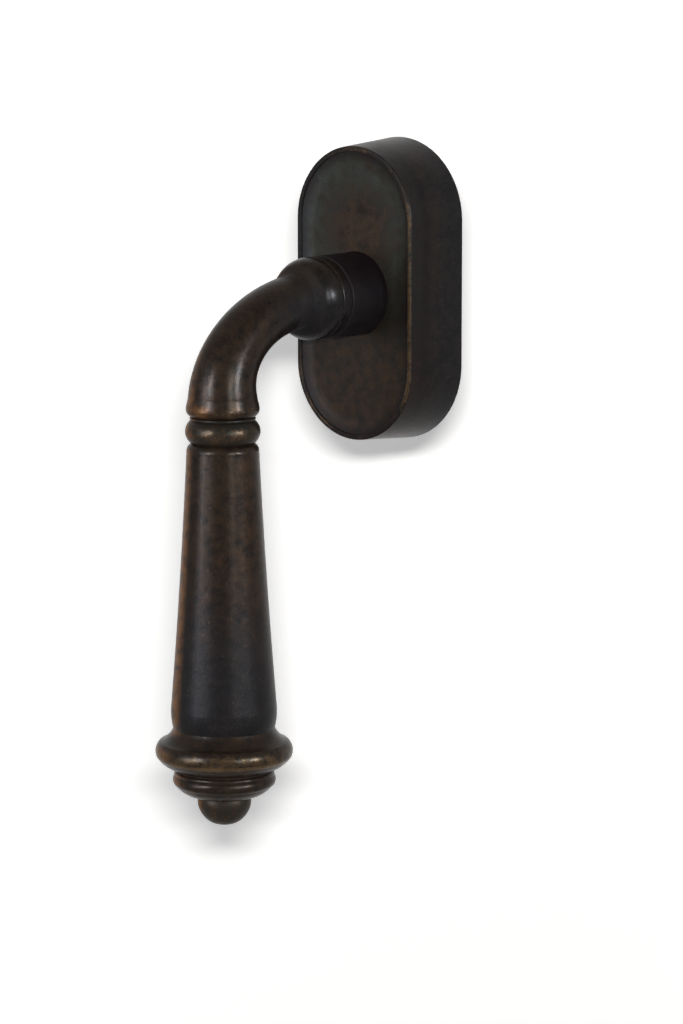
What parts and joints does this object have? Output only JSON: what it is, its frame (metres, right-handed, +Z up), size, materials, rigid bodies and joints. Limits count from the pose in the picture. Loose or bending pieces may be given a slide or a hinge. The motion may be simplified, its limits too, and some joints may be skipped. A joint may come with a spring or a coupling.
{
  "type": "window handle",
  "caption": "Swan-neck window handle with a turned tapered grip and end knob, on an oval rose that hides its base plate, detent and fixing screws.",
  "frame": {"origin": "on the spindle's axis, in the sash's face, midway between the two fixing screws", "axes": "+Z up along the rose, with the lever hanging towards -Z; +Y along the spindle into the sash; the room is towards -Y; +X across the rose"},
  "size_m": [0.0384, 0.0951, 0.1571],
  "materials": {
    "patinated_brass": "satin",
    "zinc_casting": "matte",
    "plated_steel": "satin",
    "spring_steel": "satin",
    "hardened_steel": "satin",
    "nylon": "matte"
  },
  "bodies": {
    "base": {"base_plate": "zinc_casting", "fixing_screws": "plated_steel", "bearing_bush": "nylon", "detent_springs": "spring_steel", "back_plate": "plated_steel", "back_plate_screws": "plated_steel", "rose_springs": "spring_steel"},
    "rose": {"cover_rose": "patinated_brass", "guide_ring": "nylon"},
    "handle": {"neck": "patinated_brass", "bead_ring": "patinated_brass", "grip": "patinated_brass", "end_knob": "patinated_brass", "finial": "patinated_brass", "tie_rod": "plated_steel", "lock_washer": "spring_steel", "spindle": "plated_steel", "spindle_pin": "spring_steel", "detent_cam": "hardened_steel", "retaining_ring": "spring_steel", "thrust_washer": "hardened_steel"}
  },
  "joints": [
    {"name": "handle_turn", "type": "hinge", "parent": "base", "child": "handle", "pos_m": [0, 0, 0], "axis": [0, 1, 0], "range_deg": [-180, 180], "deforming": ["detent_springs"]},
    {"name": "rose_lift", "type": "slide", "parent": "base", "child": "rose", "axis": [0, -1, 0], "range_m": [0, 0.0114]}
  ]
}
